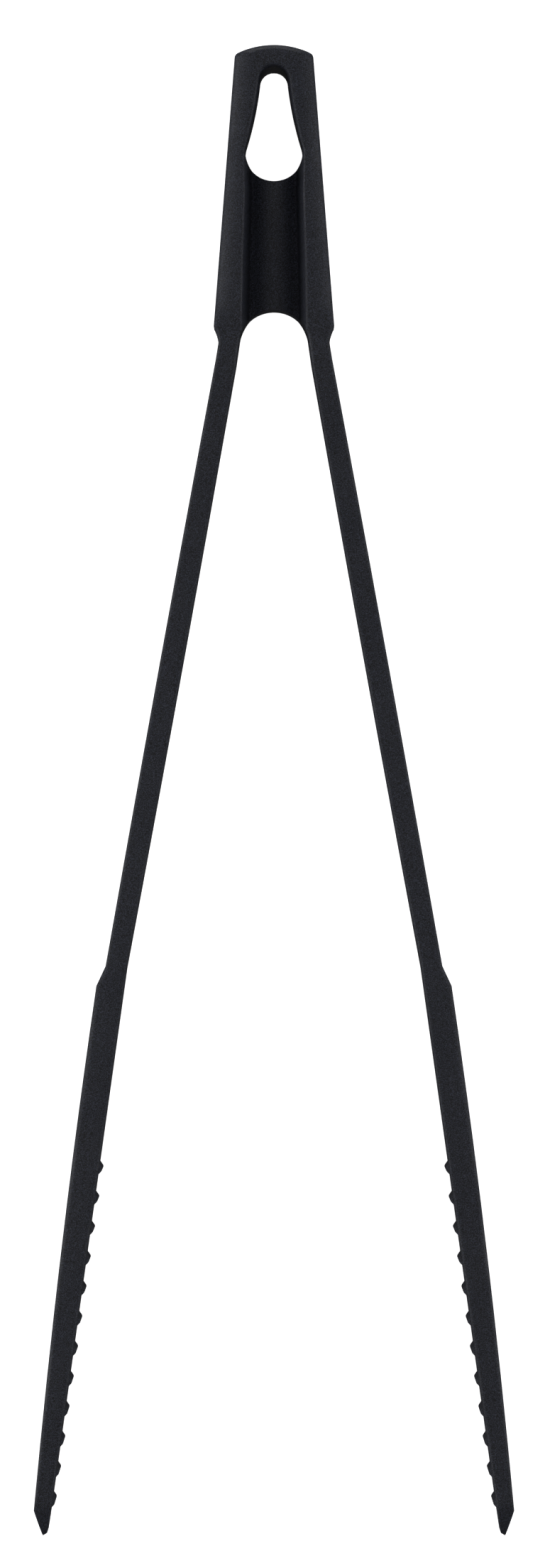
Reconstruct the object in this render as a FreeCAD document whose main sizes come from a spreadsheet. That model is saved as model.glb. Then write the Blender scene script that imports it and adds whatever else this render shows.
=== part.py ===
import FreeCAD, Part
import math
import os
import re

import Sketcher

# Spring loaded kitchen tongs, lying on their side.
# +Y runs from the jaws to the head, +X across the opening, +Z up through the depth.
# The origin is on the surface they lie on, halfway along and on the line of symmetry.
# The right side is drawn, and the left side is its mirror image.

doc = FreeCAD.newDocument("kitchen_tongs")
vector = FreeCAD.Vector

# ---------------------------------------------------------------- driving sizes, mm and degrees

SIZES = {
    "overall_length": 300.0,
    "depth": 24.0,                     # of head, necks and jaws, along Z
    # head outline
    "crown_half_width": 7.9,
    "crown_drop": 1.9,                 # from the crown's apex down to its corners
    "shoulder_half_width": 12.14,
    "shoulder_height": 93.5,
    "arch_radius": 6.95,               # round top of the space between the arms
    "arch_height": 89.95,
    "arch_end_angle": 21.0,            # where the head ends on the arch
    "edge_rounding": 1.4,
    # hanging window, a keyhole made of two circles
    "window_top_radius": 2.8,
    "window_top_height": 142.8,
    "window_low_radius": 5.75,
    "window_low_height": 128.55,
    "window_side_radius": 60.0,
    "window_side_angle": 20.0,         # where the sides meet the lower circle
    "window_base_angle": 45.0,         # a joint on the lower circle
    # channel in each face of the head
    "channel_depth": 7.0,
    "channel_draft": 13.0,
    "channel_lip": 0.45,               # margin of the channel round the window's top
    "channel_side_lip": 0.35,
    "channel_upper_half_width": 5.9,
    "channel_upper_height": 120.0,
    "channel_lower_half_width": 6.5,
    "channel_run_out": 4.0,
    # neck, where the band bends
    "neck_offset": 9.0,
    "neck_height": 90.0,
    "neck_angle": 8.8,
    "neck_waist_half_width": 11.2,
    "neck_cove_radius": 7.0,
    "sleeve_inset": 0.24,
    "sleeve_end": 3.55,
    # arm, drawn straight and turned about the neck
    "arm_angle": 10.3,
    "arm_start": 3.6,
    "arm_end": 127.45,
    "arm_thickness": 4.2,
    "arm_swell": 0.2,                  # how far each face stands out at mid length
    "arm_waist_depth": 18.0,
    # spring band
    "band_thickness": 0.6,
    "band_width": 12.0,
    "band_leg": 38.0,
    "band_top_half_width": 6.35,
    "band_top_height": 147.2,
    "band_corner_radius": 3.3,
    "band_neck_radius": 20.0,
    "fit_gap": 0.1,
    # jaw, drawn with its inner face upright and turned by its own angle
    "jaw_angle": 8.06,
    "jaw_offset": 29.89,
    "jaw_height": -38.0,
    "jaw_length": 112.4,
    "jaw_lap": 2.2,
    "jaw_lap_inset": 0.15,
    "jaw_collar_thickness": 4.35,
    "jaw_shoulder_drop": 2.0,
    "jaw_thickness": 5.64,
    "jaw_outer_radius": 1950.0,
    "jaw_end_thickness": 3.3,
    "jaw_bevel_length": 4.2,
    "jaw_tip_thickness": 0.84,
    "jaw_tip_drop": 0.84,
    "jaw_corner_radius": 7.0,
    # teeth
    "tooth_count": 12,
    "tooth_pitch": 6.15,
    "tooth_start": 38.45,
    "tooth_rise": 0.9,                 # short flank, towards the head
    "tooth_fall": 1.2,                 # long flank, towards the tip
    "tooth_height": 0.75,
    "tooth_inset": 1.2,
    # tongue of the arm, inside the jaw
    "tongue_thickness": 2.0,
    "tongue_width": 14.0,
    "tongue_length": 42.0,
    "tongue_root": 6.0,
    "tongue_offset": 2.6,
    # fasteners
    "rivet_radius": 1.2,
    "rivet_head_radius": 2.2,
    "rivet_head_height": 0.8,
    "rivet_count": 2,
    "band_rivet_first": 14.0,
    "band_rivet_pitch": 14.0,
    "jaw_rivet_first": 12.0,
    "jaw_rivet_pitch": 20.0,
    "screw_radius": 1.1,
    "screw_head_radius": 2.1,
    "screw_head_height": 1.2,
    "screw_length": 8.5,
    "screw_first": 101.5,
    "screw_pitch": 16.0,
    "screw_count": 2,
    "spigot_radius": 0.8,
    "spigot_length": 2.0,
    "spigot_offset": 7.5,
    "spigot_height": 99.0,
    "cut_clear": 20.0,                 # how far a cutting outline runs past the solid
}

TOUCHING = 0.01                        # closer than this, two places are the same

sheet = doc.addObject("Spreadsheet::Sheet", "sizes")
for row, (alias, size) in enumerate(SIZES.items(), start=1):
    sheet.set("A%d" % row, alias)
    sheet.set("B%d" % row, str(size))
    sheet.setAlias("B%d" % row, alias)
doc.recompute()


def formula(text):
    """Write an expression with every alias as its cell in the sheet."""
    return re.sub(r"[a-z]+(?:_[a-z]+)*",
                  lambda word: "sizes." + word.group() if word.group() in SIZES else word.group(),
                  str(text))


def value(text):
    """Give the number that an expression of aliases comes to."""
    result = sheet.evalExpression(formula(text))
    return float(getattr(result, "Value", result))


def bind(item, **places):
    """Bind properties to expressions; a double underscore stands for a dot."""
    for place, text in places.items():
        item.setExpression(place.replace("__", "."), formula(text))


# ---------------------------------------------------------------- sketches and features

def new_sketch(body, name, role="XY_Plane", lift="0"):
    """Add a sketch on one of the body's own planes, raised by the lift."""
    sketch = body.newObject("Sketcher::SketchObject", name)
    support = next(item for item in body.Origin.OriginFeatures if item.Role == role)
    sketch.AttachmentSupport = [(support, "")]
    sketch.MapMode = "FlatFace"
    bind(sketch, AttachmentOffset__Base__z=lift)
    return sketch


def arc_between(start, end, radius):
    """Make the arc of at most half a turn that bulges to the right of its run.

    A radius below zero makes it bulge to the left. Either way the arc is stored anticlockwise.
    """
    chord = end - start
    reach = math.sqrt(max(radius ** 2 - chord.Length ** 2 / 4, 0))
    inward = vector(-chord.y, chord.x, 0).normalize() * math.copysign(reach, radius)
    centre = (start + end) * 0.5 + inward
    first, last = (start, end) if radius > 0 else (end, start)
    angles = [math.atan2(spot.y - centre.y, spot.x - centre.x) for spot in (first, last)]
    return Part.ArcOfCircle(Part.Circle(centre, vector(0, 0, 1), abs(radius)), *angles)


def draw(sketch, corners):
    """Draw a closed outline whose corners are bound to the sheet.

    A corner is (x, y), or (x, y, radius) where an arc leads to it. An arc bulges to the right
    of its run, or to the left where the radius starts with a minus.
    """
    spots = [vector(value(corner[0]), value(corner[1]), 0) for corner in corners]
    lines = []
    for index, corner in enumerate(corners):
        start, end = spots[index - 1], spots[index]
        if len(corner) == 2:
            line = sketch.addGeometry(Part.LineSegment(start, end))
        else:
            line = sketch.addGeometry(arc_between(start, end, value(corner[2])))
        shape = sketch.Geometry[line]
        forward = shape.StartPoint.distanceToPoint(start) < shape.EndPoint.distanceToPoint(start)
        lines.append((line, 2 if forward else 1))
    for index, corner in enumerate(corners):
        line, tail = lines[index]
        following, lead = lines[(index + 1) % len(lines)]
        sketch.addConstraint(Sketcher.Constraint("Coincident", line, tail, following, 3 - lead))
        for kind, place, text in (("DistanceX", spots[index].x, corner[0]),
                                  ("DistanceY", spots[index].y, corner[1])):
            rule = sketch.addConstraint(Sketcher.Constraint(kind, -1, 1, line, tail, place))
            sketch.setExpression("Constraints[%d]" % rule, formula(text))
        chord = (spots[index] - spots[index - 1]).Length
        if len(corner) == 3 and chord < 2 * abs(value(corner[2])) - TOUCHING:
            size = corner[2].lstrip("-")
            rule = sketch.addConstraint(Sketcher.Constraint("Radius", line, value(size)))
            sketch.setExpression("Constraints[%d]" % rule, formula(size))


def symmetric(right, top="", bottom=""):
    """Complete an outline from the corners that run up its right side.

    Top and bottom are the radii of the arcs that cross the line of symmetry, if they are arcs.
    """
    leads = [corner[2:] for corner in right[1:]] + [(top,) if top else ()]
    left = [("-(%s)" % corner[0], corner[1]) + lead for corner, lead in zip(right, leads)]
    return [right[0] + ((bottom,) if bottom else ())] + right[1:] + left[::-1]


def feature(body, kind, name, sketch, length, **choices):
    """Add a pad or a pocket of a sketch, bound to a length."""
    item = body.newObject("PartDesign::" + kind, name)
    item.Profile = sketch
    for choice, setting in choices.items():
        setattr(item, choice, setting)
    bind(item, Length=length)
    sketch.Visibility = False
    return item


def round_edges(body, name, radius, wanted):
    """Round the edges of the body's last feature that the wanted test picks."""
    doc.recompute()
    base = body.Tip
    edges = ["Edge%d" % number for number, edge in enumerate(base.Shape.Edges, start=1)
             if wanted(edge)]
    item = body.newObject("PartDesign::Fillet", name)
    item.Base = (base, edges)
    bind(item, Radius=radius)
    return item


def combine(kind, label, pieces, **choices):
    """Join, cut or group shapes as one object of the document."""
    item = doc.addObject("Part::" + kind, label)
    if kind in ("Cut", "Common"):
        item.Base, item.Tool = pieces
    elif kind == "Compound":
        item.Links = pieces
    else:
        item.Shapes = pieces
    return item


def primitive(kind, label, **places):
    """Add a box, a cylinder or a cone with its sizes bound to expressions."""
    item = doc.addObject("Part::" + kind, label)
    bind(item, **places)
    return item


# ---------------------------------------------------------------- spring band and its groove

def band_path():
    """Make the centre line of the bent band, from one leg's end over the crown to the other's."""
    lean = math.radians(value("arm_angle"))
    neck = vector(value("neck_offset"), value("neck_height"), 0)
    leg_end = neck + vector(math.sin(lean), -math.cos(lean), 0) * value("band_leg")
    corner = vector(value("band_top_half_width"), value("band_top_height"), 0)
    right = [leg_end, neck, corner]
    spots = right + [vector(-spot.x, spot.y, 0) for spot in reversed(right)]
    bends = [value("band_neck_radius"), value("band_corner_radius")]
    edges = []
    last = spots[0]
    for before, turn, after, radius in zip(spots, spots[1:], spots[2:], bends + bends[::-1]):
        inward, outward = (before - turn).normalize(), (after - turn).normalize()
        half = inward.getAngle(outward) / 2
        first = turn + inward * (radius / math.tan(half))
        final = turn + outward * (radius / math.tan(half))
        middle = turn + (inward + outward).normalize() * (radius / math.sin(half) - radius)
        edges.append(Part.LineSegment(last, first).toShape())
        edges.append(Part.Arc(first, middle, final).toShape())
        last = final
    edges.append(Part.LineSegment(last, spots[-1]).toShape())
    line = doc.addObject("Part::Feature", "band_line")
    line.Shape = Part.Wire(edges)
    return line


band_line = band_path()


def bent_strip(name, thickness, width):
    """Make a strip that follows the band's line, centred on it and on mid depth."""
    section = doc.addObject("Part::Offset2D", name + "_section")
    section.Source = band_line
    section.Fill = True
    bind(section, Value="(%s) / 2" % thickness)
    strip = doc.addObject("Part::Extrusion", name)
    strip.Base = section
    strip.DirMode = "Custom"
    strip.Dir = vector(0, 0, 1)
    strip.Solid = True
    bind(strip, LengthFwd=width, Placement__Base__z="(depth - (%s)) / 2" % width)
    return strip


band_blank = bent_strip("band_blank", "band_thickness", "band_width")
band_groove = bent_strip("band_groove", "band_thickness + 2 * fit_gap",
                         "band_width + 2 * fit_gap")

# ---------------------------------------------------------------- fasteners

def rivet(name, length, side, lean, along, across):
    """Make a flush rivet across a strip that leans out from a corner of the right side.

    The length is the strip's thickness, along is the distance down the strip from its corner
    and across is the place of the rivet's middle, both in the strip's own directions.
    """
    offset, height = side
    shank = primitive("Cylinder", name + "_shank", Radius="rivet_radius", Height=length)
    heads = []
    for end, flat, taper in (("inner", "0", "0"), ("outer", length, "180")):
        head = primitive("Cone", name + "_" + end + "_head", Radius1="rivet_head_radius",
                         Radius2="rivet_radius", Height="rivet_head_height",
                         Placement__Base__z=flat)
        head.Placement.Rotation = FreeCAD.Rotation(vector(1, 0, 0), float(taper))
        heads.append(head)
    whole = combine("MultiFuse", name, [shank] + heads)
    turn = math.radians(value(lean))
    out = vector(math.cos(turn), math.sin(turn), 0)
    down = vector(math.sin(turn), -math.cos(turn), 0)
    middle = vector(value(offset), value(height), value("depth / 2"))
    foot = middle + down * value(along) + out * (value(across) - value(length) / 2)
    whole.Placement = FreeCAD.Placement(foot, FreeCAD.Rotation(vector(0, 0, 1), out))
    return whole


NECK = ("neck_offset", "neck_height")
JAW = ("jaw_offset", "jaw_height")
band_rivet_set = combine("Compound", "band_rivet_set", [
    rivet("band_rivet_%d" % number, "arm_thickness", NECK, "arm_angle",
          "band_rivet_first + %d * band_rivet_pitch" % number, "0")
    for number in range(SIZES["rivet_count"])])
jaw_rivet_blanks = combine("Compound", "jaw_rivet_blanks", [
    rivet("jaw_rivet_%d" % number, "jaw_thickness", JAW, "jaw_angle",
          "jaw_rivet_first + %d * jaw_rivet_pitch" % number, "jaw_thickness / 2")
    for number in range(SIZES["rivet_count"])])


def screw(number):
    """Make a countersunk screw that stands in the web, its head at the rear."""
    height = "screw_first + %d * screw_pitch" % number
    base = "channel_depth"
    shank = primitive("Cylinder", "screw_%d_shank" % number, Radius="screw_radius",
                      Height="screw_length", Placement__Base__y=height, Placement__Base__z=base)
    head = primitive("Cone", "screw_%d_head" % number, Radius1="screw_head_radius",
                     Radius2="screw_radius", Height="screw_head_height",
                     Placement__Base__y=height, Placement__Base__z=base)
    return combine("MultiFuse", "screw_%d" % number, [shank, head])


head_screws = combine("Compound", "head_screws",
                      [screw(number) for number in range(SIZES["screw_count"])])

# ---------------------------------------------------------------- head

def head_casting():
    """Make the front half of the head, before its groove and its screw holes."""
    body = doc.addObject("PartDesign::Body", "head_casting")
    end = ("arch_radius * cos(arch_end_angle * 1deg)",
           "arch_height + arch_radius * sin(arch_end_angle * 1deg)")
    outline = new_sketch(body, "head_outline", lift="depth / 2")
    draw(outline, symmetric([end, ("shoulder_half_width", "shoulder_height"),
                             ("crown_half_width", "overall_length / 2 - crown_drop")],
                            top="(crown_half_width^2 + crown_drop^2) / (2 * crown_drop)",
                            bottom="-arch_radius"))
    feature(body, "Pad", "head_half", outline, "depth / 2")
    face = value("depth")
    round_edges(body, "head_rounding", "edge_rounding",
                lambda edge: min(spot.Z for spot in edge.Vertexes) > face - TOUCHING
                and edge.CenterOfMass.y > value("shoulder_height"))
    channel = new_sketch(body, "channel_outline", lift="depth")
    draw(channel, symmetric([("channel_lower_half_width", "arch_height - channel_run_out"),
                             ("channel_lower_half_width", "shoulder_height"),
                             ("channel_upper_half_width", "channel_upper_height"),
                             ("window_low_radius + channel_side_lip", "window_low_height"),
                             ("window_top_radius + channel_lip", "window_top_height")],
                            top="window_top_radius + channel_lip"))
    pocket = feature(body, "Pocket", "channel", channel, "channel_depth")
    bind(pocket, TaperAngle="-channel_draft")
    window = new_sketch(body, "window_outline", lift="depth")
    base, side = "window_base_angle * 1deg", "window_side_angle * 1deg"
    draw(window, symmetric([
        ("window_low_radius * cos(%s)" % base,
         "window_low_height - window_low_radius * sin(%s)" % base),
        ("window_low_radius * cos(%s)" % side,
         "window_low_height + window_low_radius * sin(%s)" % side, "window_low_radius"),
        ("window_top_radius", "window_top_height", "-window_side_radius")],
        top="window_top_radius", bottom="window_low_radius"))
    feature(body, "Pocket", "window", window, "depth")
    return body


casting = head_casting()
rear_casting = doc.addObject("Part::Mirroring", "rear_casting")
rear_casting.Source = casting
rear_casting.Normal = vector(0, 0, 1)
bind(rear_casting, Base__z="depth / 2")


def spigots(name, gap):
    """Make the two locating spigots of the front shell, or with a gap the holes they enter."""
    pegs = [primitive("Cylinder", "%s_%s" % (name, side), Radius="spigot_radius + " + gap,
                      Height="2 * spigot_length", Placement__Base__x=sign + "spigot_offset",
                      Placement__Base__y="spigot_height",
                      Placement__Base__z="depth / 2 - spigot_length - " + gap)
            for side, sign in (("left", "-"), ("right", ""))]
    return combine("Compound", name, pegs)


front_blank = combine("MultiFuse", "front_blank", [casting, spigots("spigots", "0")])
front_cutters = combine("Compound", "front_cutters", [band_groove, head_screws])
rear_cutters = combine("Compound", "rear_cutters",
                       [band_groove, head_screws, spigots("spigot_holes", "fit_gap")])
head_front_shell = combine("Cut", "head_front_shell", (front_blank, front_cutters))
head_rear_shell = combine("Cut", "head_rear_shell", (rear_casting, rear_cutters))

# ---------------------------------------------------------------- neck sleeve

def neck_sleeve():
    """Make the right sleeve, which fills the neck between the head and the arm."""
    body = doc.addObject("PartDesign::Body", "sleeve_blank")
    outline = new_sketch(body, "sleeve_outline")
    across = "arm_thickness / 2 * %s(arm_angle * 1deg)"
    along = "sleeve_end * %s(arm_angle * 1deg)"
    foot = [(" ".join(["neck_offset", sign, across % "cos", "+", along % "sin"]),
             " ".join(["neck_height", sign, across % "sin", "-", along % "cos"]))
            for sign in "-+"]
    top = ("arch_radius * cos(arch_end_angle * 1deg)",
           "arch_height + arch_radius * sin(arch_end_angle * 1deg)")
    slope = ("(shoulder_height - (%s)) / (shoulder_half_width - (%s))" % (top[1], top[0]))
    draw(outline, [
        top,
        ("arch_radius * cos(neck_angle * 1deg)",
         "arch_height + arch_radius * sin(neck_angle * 1deg)", "-arch_radius"),
        foot[0], foot[1],
        ("neck_waist_half_width", "neck_height"),
        ("shoulder_half_width - sleeve_inset",
         "shoulder_height - sleeve_inset * " + slope, "-neck_cove_radius")])
    feature(body, "Pad", "sleeve", outline, "depth")
    return combine("Cut", "right_neck_sleeve", (body, band_groove))


right_neck_sleeve = neck_sleeve()

# ---------------------------------------------------------------- arm

def lean_out(body, side, angle):
    """Turn a body that was drawn upright about its corner of the right side."""
    body.Placement = FreeCAD.Placement(vector(0, 0, 0), FreeCAD.Rotation(vector(0, 0, 1), 1))
    bind(body, Placement__Base__x=side[0], Placement__Base__y=side[1],
         Placement__Base__z="depth / 2", Placement__Rotation__Angle=angle)


def box_down(name, thickness, width, top, bottom, across):
    """Make a box that lies down the jaw, in the jaw's own directions."""
    box = primitive("Box", name, Length=thickness, Width="(%s) + (%s)" % (top, bottom),
                    Height=width)
    turn = math.radians(value("jaw_angle"))
    out = vector(math.cos(turn), math.sin(turn), 0)
    down = vector(math.sin(turn), -math.cos(turn), 0)
    corner = vector(value(JAW[0]), value(JAW[1]), value("(depth - (%s)) / 2" % width))
    corner += down * value(bottom) + out * value("(%s) - (%s) / 2" % (across, thickness))
    box.Placement = FreeCAD.Placement(corner, FreeCAD.Rotation(vector(0, 0, 1),
                                                               value("jaw_angle")))
    return box


def side_trim(sketch, corners):
    """Draw the same trimming outline above and below mid depth."""
    draw(sketch, corners)
    draw(sketch, [(corner[0], "-(%s)" % corner[1]) + tuple(flipped(corner[2]) for _ in corner[2:])
                  for corner in corners])


def flipped(radius):
    """Make an arc bulge to the other side of its run."""
    return radius[1:] if radius.startswith("-") else "-" + radius


def arm():
    """Make the right arm: a strip with a slimmer middle, ending in a tongue for the jaw."""
    body = doc.addObject("PartDesign::Body", "arm_strip")
    outline = new_sketch(body, "arm_outline")
    half = "arm_thickness / 2"
    swell = "((arm_end - arm_start)^2 / 4 + arm_swell^2) / (2 * arm_swell)"
    draw(outline, [(half, "-arm_end"), (half, "-arm_start", swell),
                   ("-" + half, "-arm_start"), ("-" + half, "-arm_end", swell)])
    feature(body, "Pad", "arm_pad", outline, "depth", SideType="Symmetric")
    waist = new_sketch(body, "arm_waist", role="YZ_Plane")
    run = "((arm_end - arm_start)^2 / 4 + ((depth - arm_waist_depth) / 2)^2)"
    side_trim(waist, [("-arm_start", "depth / 2 + cut_clear"),
                      ("-arm_end", "depth / 2 + cut_clear"), ("-arm_end", "depth / 2"),
                      ("-arm_start", "depth / 2", run + " / (depth - arm_waist_depth)")])
    feature(body, "Pocket", "arm_waist_cut", waist, "cut_clear", SideType="Symmetric")
    lean_out(body, NECK, "arm_angle")
    tongue = box_down("arm_tongue", "tongue_thickness", "tongue_width", "tongue_root",
                      "tongue_length", "tongue_offset")
    blank = combine("MultiFuse", "arm_blank", [body, tongue])
    cutters = combine("Compound", "arm_cutters", [band_rivet_set, jaw_rivet_blanks])
    slotted = combine("Cut", "arm_slotted", (blank, band_groove))
    return combine("Cut", "right_arm", (slotted, cutters))


right_arm = arm()

# ---------------------------------------------------------------- jaw

def jaw():
    """Make the right jaw: a bevelled paddle with a row of teeth on its inner face."""
    body = doc.addObject("PartDesign::Body", "jaw_blank")
    outline = new_sketch(body, "jaw_outline")
    draw(outline, [("0", "-jaw_length"),
                   ("jaw_tip_thickness", "-jaw_length - jaw_tip_drop"),
                   ("jaw_end_thickness", "-jaw_length + jaw_bevel_length"),
                   ("jaw_thickness", "-jaw_shoulder_drop", "jaw_outer_radius"),
                   ("jaw_collar_thickness", "jaw_lap"),
                   ("jaw_lap_inset", "jaw_lap")])
    feature(body, "Pad", "jaw_pad", outline, "depth", SideType="Symmetric")
    tooth = new_sketch(body, "tooth_outline")
    draw(tooth, [("tooth_height / 2", "-tooth_start + tooth_rise"),
                 ("-tooth_height", "-tooth_start"),
                 ("tooth_height / 2", "-tooth_start - tooth_fall")])
    tooth_pad = feature(body, "Pad", "tooth", tooth, "depth - 2 * tooth_inset",
                        SideType="Symmetric")
    doc.recompute()
    row = body.newObject("PartDesign::LinearPattern", "tooth_row")
    row.Originals = [tooth_pad]
    row.Direction = (tooth, ["V_Axis"])
    row.Reversed = True
    row.Mode = "Spacing"
    bind(row, Offset="tooth_pitch", Occurrences="tooth_count")
    body.Tip = row
    doc.recompute()
    side = new_sketch(body, "jaw_corners", role="YZ_Plane")
    end = "-jaw_length - jaw_tip_drop"
    side_trim(side, [(end + " - cut_clear", "depth / 2 + cut_clear"),
                     (end + " - cut_clear", "depth / 2 - jaw_corner_radius"),
                     (end, "depth / 2 - jaw_corner_radius"),
                     (end + " + jaw_corner_radius", "depth / 2", "-jaw_corner_radius"),
                     (end + " + jaw_corner_radius", "depth / 2 + cut_clear")])
    feature(body, "Pocket", "jaw_corner_cut", side, "cut_clear", SideType="Symmetric")
    lean_out(body, JAW, "jaw_angle")
    return body


jaw_blank = jaw()
socket = box_down("jaw_socket", "tongue_thickness + 2 * fit_gap", "tongue_width + 2 * fit_gap",
                  "tongue_root", "tongue_length + fit_gap", "tongue_offset")
right_jaw_rivets = combine("Common", "right_jaw_rivets", (jaw_rivet_blanks, jaw_blank))
jaw_socketed = combine("Cut", "jaw_socketed", (jaw_blank, socket))
right_jaw = combine("Cut", "right_jaw", (jaw_socketed, jaw_rivet_blanks))

# ---------------------------------------------------------------- band with its rivet holes

def flip(item, label):
    """Make the mirror image of a right-hand piece."""
    image = doc.addObject("Part::Mirroring", label)
    image.Source = item
    image.Normal = vector(1, 0, 0)
    return image


left_band_rivets = flip(band_rivet_set, "left_band_rivets")
right_band_rivets = combine("Compound", "right_band_rivets", [band_rivet_set])
band_holes = combine("Compound", "band_holes", [band_rivet_set, left_band_rivets])
spring_band = combine("Cut", "spring_band", (band_blank, band_holes))

# ---------------------------------------------------------------- check and write

NODES = [head_front_shell, head_rear_shell, spring_band, head_screws,
         right_neck_sleeve, flip(right_neck_sleeve, "left_neck_sleeve"),
         right_arm, flip(right_arm, "left_arm"),
         right_jaw, flip(right_jaw, "left_jaw"),
         right_band_rivets, left_band_rivets,
         right_jaw_rivets, flip(right_jaw_rivets, "left_jaw_rivets")]

doc.recompute()
for item in doc.Objects:
    if "Invalid" in item.State or "Error" in item.State:
        raise RuntimeError("%s failed: %s" % (item.Label, item.State))
for node in NODES:
    if node.Shape.isNull() or not node.Shape.isValid():
        raise RuntimeError("%s has no valid shape" % node.Label)

os.makedirs("parts", exist_ok=True)
for node in NODES:
    node.Shape.exportStep("parts/%s.step" % node.Label)
    print("%-18s %d solid(s) %9.1f mm3" % (node.Label, len(node.Shape.Solids), node.Shape.Volume))
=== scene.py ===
import logging
import math
from dataclasses import dataclass
from enum import Enum
from typing import Callable, Iterable, Sequence

import bmesh
import bpy
from mathutils import Matrix, Vector


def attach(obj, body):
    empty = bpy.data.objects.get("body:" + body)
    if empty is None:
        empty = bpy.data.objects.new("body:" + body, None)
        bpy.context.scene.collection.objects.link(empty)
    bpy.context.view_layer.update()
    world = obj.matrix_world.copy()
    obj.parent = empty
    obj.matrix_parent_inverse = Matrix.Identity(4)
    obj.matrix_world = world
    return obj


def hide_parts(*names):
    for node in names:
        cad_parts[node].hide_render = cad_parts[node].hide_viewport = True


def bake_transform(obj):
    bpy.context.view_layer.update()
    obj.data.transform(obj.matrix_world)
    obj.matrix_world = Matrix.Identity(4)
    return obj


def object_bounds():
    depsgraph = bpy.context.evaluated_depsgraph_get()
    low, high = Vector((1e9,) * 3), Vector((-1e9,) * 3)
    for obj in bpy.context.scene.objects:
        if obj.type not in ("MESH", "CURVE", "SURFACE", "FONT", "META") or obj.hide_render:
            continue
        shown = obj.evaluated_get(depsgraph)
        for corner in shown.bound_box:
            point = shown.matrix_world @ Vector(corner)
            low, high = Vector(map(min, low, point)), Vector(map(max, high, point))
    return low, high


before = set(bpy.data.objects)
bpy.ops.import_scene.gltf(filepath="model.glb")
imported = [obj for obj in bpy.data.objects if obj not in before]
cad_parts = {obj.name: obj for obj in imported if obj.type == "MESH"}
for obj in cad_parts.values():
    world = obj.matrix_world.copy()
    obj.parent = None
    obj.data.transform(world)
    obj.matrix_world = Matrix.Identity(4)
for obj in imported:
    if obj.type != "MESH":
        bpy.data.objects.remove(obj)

# Spring loaded kitchen tongs of black glass-filled nylon, lying on their side.
#
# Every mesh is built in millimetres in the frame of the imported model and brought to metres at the
# end. +Y runs from the jaws to the head, +X across the opening and +Z up through the depth. The
# right side is modelled, and the left side is its mirror image.

MM = 0.001
CAD_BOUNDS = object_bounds()
SHARP_ANGLE = 35.0
CELL_SCALE = 0.6
CELL_HEIGHT = 0.5
log = logging.getLogger("tongs")

Point = tuple[float, float]


class Side(Enum):
    """The two sides of the tongs, with the sign of X on each."""

    LEFT = -1
    RIGHT = 1

    @property
    def word(self) -> str:
        """The side's name in lower case."""
        return self.name.lower()


class Cut(Enum):
    """The ways that one solid shapes another."""

    REMOVE = "DIFFERENCE"
    JOIN = "UNION"
    KEEP = "INTERSECT"


# ---------------------------------------------------------------- shapes

def arc(centre: Point, radius: float, start: float, end: float, steps: int) -> list[Point]:
    """List the points of an arc.

    Args:
        centre: The arc's centre.
        radius: Its radius.
        start: The angle of its first point, in degrees.
        end: The angle of its last point, in degrees.
        steps: The number of straight steps.

    Returns:
        The points, with both ends.
    """
    angles = [math.radians(start + (end - start) * step / steps) for step in range(steps + 1)]
    return [(centre[0] + radius * math.cos(a), centre[1] + radius * math.sin(a)) for a in angles]


def bow(start: Point, end: Point, rise: float, steps: int) -> list[Point]:
    """List the points of a shallow curve between two points, without its start.

    Args:
        start: Where the curve comes from.
        end: Where it leads.
        rise: How far its middle stands out to the right of its run.
        steps: The number of straight steps.

    Returns:
        The points after the start.
    """
    first, last = Vector(start), Vector(end)
    run = last - first
    out = Vector((run.y, -run.x)).normalized()
    points = []
    for step in range(1, steps + 1):
        share = step / steps
        spot = first + run * share + out * (4 * rise * share * (1 - share))
        points.append((spot.x, spot.y))
    return points


def both_sides(right: Sequence[Point]) -> list[Point]:
    """Complete an outline from the points that run up its right side."""
    left = [(-x, y) for x, y in reversed(right) if abs(x) > 1e-6]
    return list(right) + left


def ring_face(solid: bmesh.types.BMesh, outline: Sequence[Point],
              height: float) -> bmesh.types.BMFace:
    """Fill an outline with one face.

    Args:
        solid: The mesh that the face is added to.
        outline: The corners of the outline.
        height: The height of the face.

    Returns:
        The face, which looks up.
    """
    corners = [solid.verts.new((x, y, height)) for x, y in outline]
    ring = [solid.edges.new((corner, corners[index - 1])) for index, corner in enumerate(corners)]
    face = bmesh.ops.contextual_create(solid, geom=ring)["faces"][0]
    face.normal_update()
    if face.normal.z < 0:
        bmesh.ops.reverse_faces(solid, faces=[face])
    return face


def prism(outline: Sequence[Point], low: float, high: float) -> bmesh.types.BMesh:
    """Extrude an outline in the XY plane.

    Args:
        outline: The corners of the outline.
        low: The height of its lower face.
        high: The height of its upper face.

    Returns:
        The closed solid.
    """
    solid = bmesh.new()
    floor = [ring_face(solid, outline, low)]
    raised = bmesh.ops.extrude_face_region(solid, geom=floor)["geom"]
    bmesh.ops.translate(solid, vec=(0, 0, high - low),
                        verts=[item for item in raised if isinstance(item, bmesh.types.BMVert)])
    bmesh.ops.recalc_face_normals(solid, faces=solid.faces)
    return solid


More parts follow.
